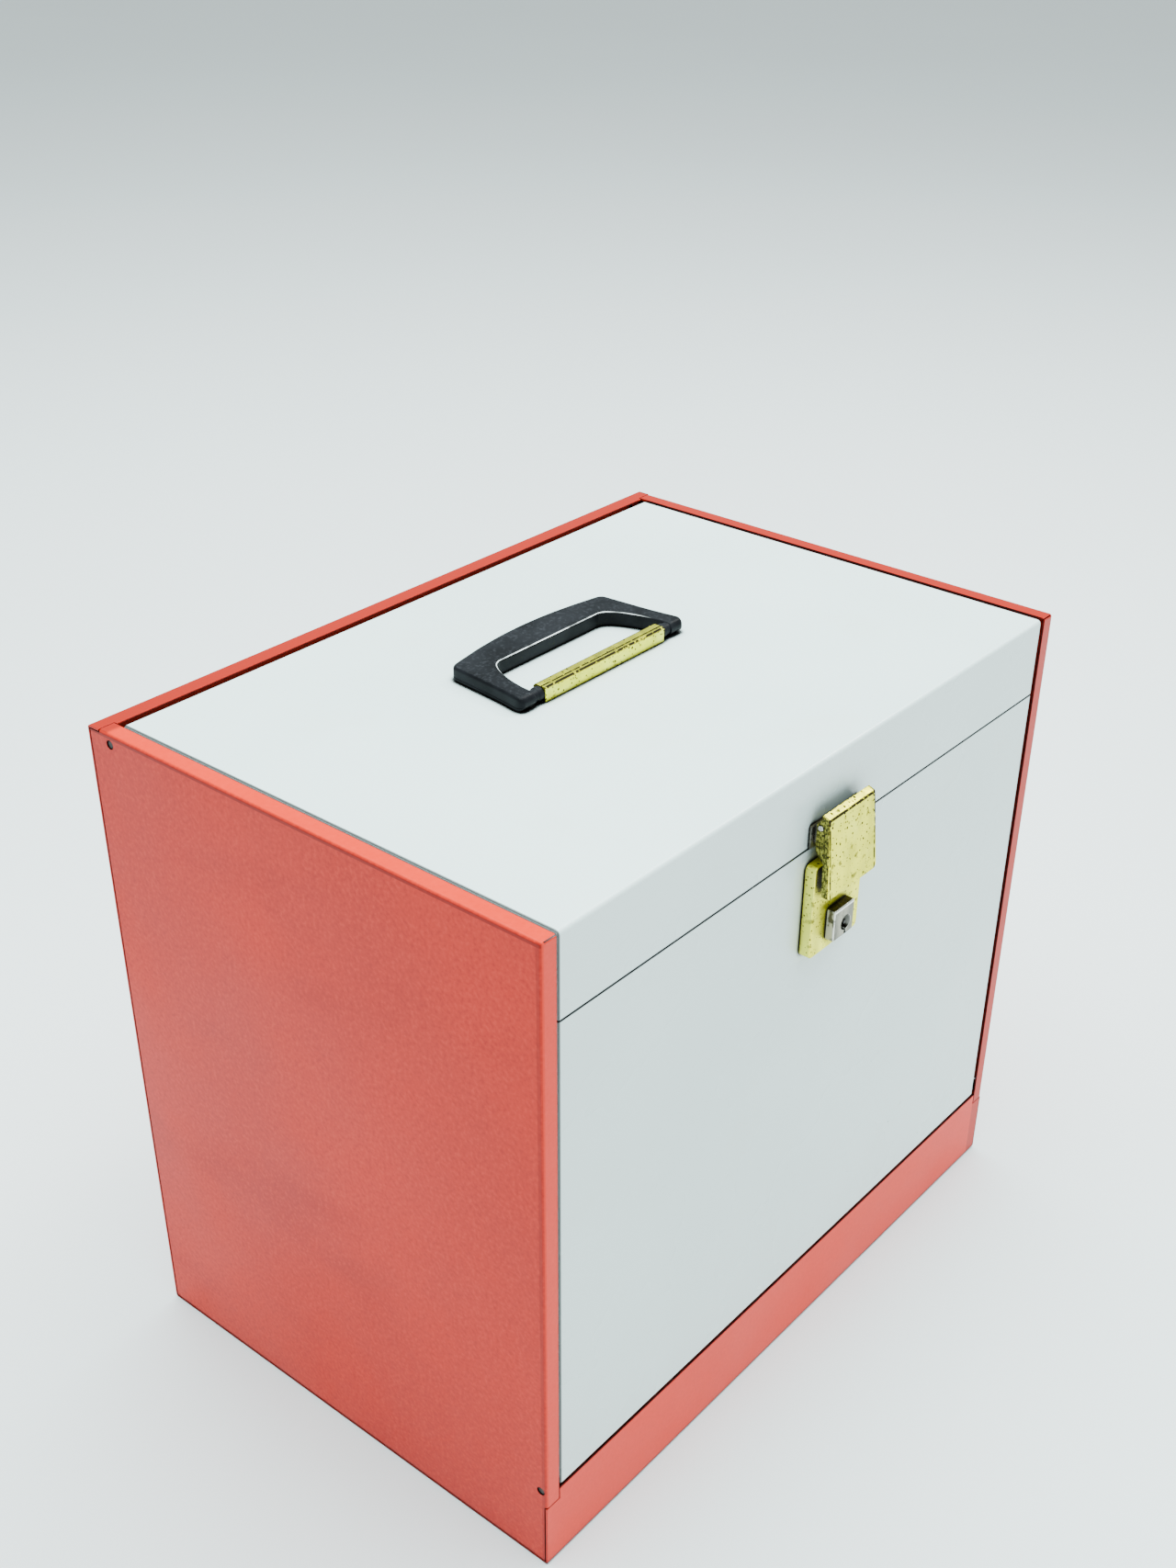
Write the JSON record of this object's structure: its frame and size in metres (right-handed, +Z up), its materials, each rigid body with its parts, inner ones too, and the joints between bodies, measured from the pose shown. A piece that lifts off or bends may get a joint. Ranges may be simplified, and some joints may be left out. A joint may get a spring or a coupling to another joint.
{
  "type": "lockable document box",
  "caption": "Two-tone sheet-steel document box with a hinged lid, a drop-front flap, a folding top handle and a hasp lock with a keyed sliding button.",
  "frame": {"origin": "centre of the case's underside, on the surface it stands on", "axes": "+X to the right along the front, +Y to the rear, +Z up; the front flap is at -Y"},
  "size_m": [0.368, 0.2639, 0.3354],
  "materials": {
    "coral_paint": "semi-gloss coral stove enamel",
    "white_paint": "semi-gloss cool off-white stove enamel",
    "brass": "pale brass plate with dark pits",
    "steel": "plain steel",
    "nickel": "worn nickel plate",
    "black_plastic": "satin black moulded plastic"
  },
  "bodies": {
    "case": {"base_wrap": "coral_paint", "side_panel_left": "coral_paint", "side_panel_right": "coral_paint", "file_rail_left": "coral_paint", "file_rail_right": "coral_paint"},
    "lid": {"lid_shell": "white_paint", "lid_pivot_left": "steel", "lid_pivot_right": "steel", "handle_channel": "brass", "handle_rod": "steel", "handle_backing_plate": "steel", "handle_rivet_left": "steel", "handle_rivet_right": "steel", "hasp_hinge_plate": "brass", "hinge_rivet_left": "steel", "hinge_rivet_right": "steel", "hasp_pin": "steel"},
    "handle": {"handle_grip": "black_plastic"},
    "hasp": {"hasp_plate": "brass", "hasp_hook": "steel"},
    "flap": {"front_flap": "white_paint", "flap_pivot_left": "steel", "flap_pivot_right": "steel", "lock_case": "brass", "lock_base_plate": "steel", "lock_rivet_lower": "steel", "lock_rivet_upper": "steel", "slide_spring": "steel"},
    "button": {"lock_button": "nickel", "lock_slide": "steel", "key_post": "steel"},
    "key_cam": {"key_cam": "steel"}
  },
  "joints": [
    {"name": "lid_hinge", "type": "hinge", "parent": "case", "child": "lid", "pos_m": [0, 0.1122, 0.3233], "axis": [-1, 0, 0], "range_deg": [0, 95]},
    {"name": "flap_hinge", "type": "hinge", "parent": "case", "child": "flap", "pos_m": [0, -0.1229, 0.0455], "axis": [1, 0, 0], "range_deg": [0, 90]},
    {"name": "handle_fold", "type": "hinge", "parent": "lid", "child": "handle", "pos_m": [-0.0028, -0.0022, 0.3319], "axis": [1, 0, 0], "range_deg": [0, 180]},
    {"name": "hasp_hinge", "type": "hinge", "parent": "lid", "child": "hasp", "pos_m": [0.0018, -0.1306, 0.3008], "axis": [-1, 0, 0], "range_deg": [0, 55]},
    {"name": "button_slide", "type": "slide", "parent": "flap", "child": "button", "axis": [1, 0, 0], "range_m": [0, 0.004], "stiffness_N_per_m": 300, "springref_m": -0.004, "deforming": ["slide_spring"]},
    {"name": "key_turn", "type": "hinge", "parent": "button", "child": "key_cam", "pos_m": [0.0025, -0.1284, 0.248], "axis": [0, 1, 0], "range_deg": [0, 90]}
  ]
}
